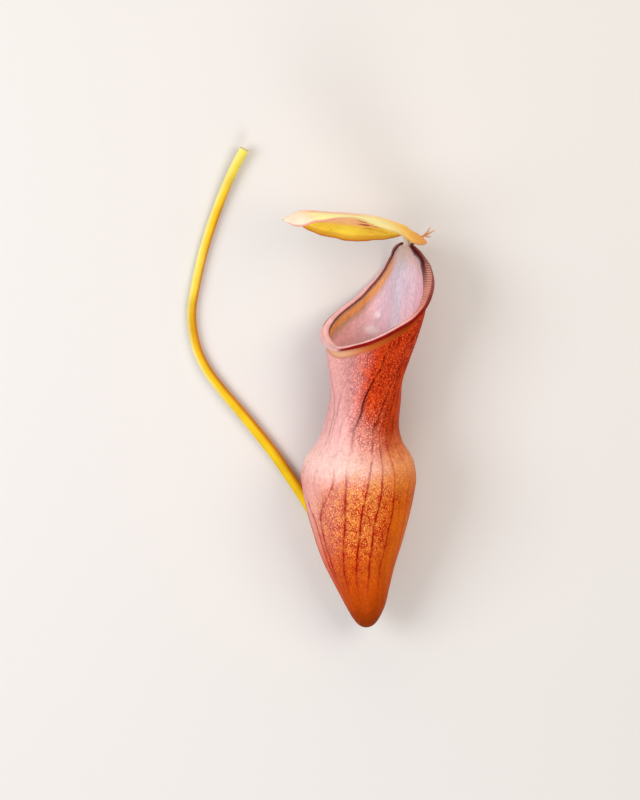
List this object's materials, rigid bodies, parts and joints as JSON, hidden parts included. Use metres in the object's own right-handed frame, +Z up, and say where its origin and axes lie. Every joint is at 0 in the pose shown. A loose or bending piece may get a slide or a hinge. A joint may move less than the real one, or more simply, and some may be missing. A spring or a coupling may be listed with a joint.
{
  "type": "tropical pitcher plant trap",
  "caption": "Picked trap of a tropical pitcher plant lying down: swollen hollow cup, slanting mouth with a ribbed rolled rim, folded lid, branched spur and long curving tendril.",
  "frame": {"origin": "middle of the bounding box's underside, on the surface that the trap lies on", "axes": "+Y runs along the cup from its tip towards its mouth, +Z is up off the surface, +X is to the right when seen from above with the mouth at the top"},
  "size_m": [0.1118, 0.2154, 0.0606],
  "materials": {
    "cup_skin": "waxy satin, pink to orange with dark red veins and flecks, pale lilac inside",
    "rim_skin": "hard gloss, red-brown with fine cross ribs",
    "lid_skin": "satin, yellow with pink margins and red-brown streaks underneath",
    "spur_skin": "satin, orange-brown",
    "tendril_skin": "smooth satin, yellow shading to orange"
  },
  "bodies": {
    "root": {"pitcher_cup": "cup_skin", "peristome": "rim_skin", "lid": "lid_skin", "spur": "spur_skin", "tendril": "tendril_skin"}
  },
  "joints": []
}
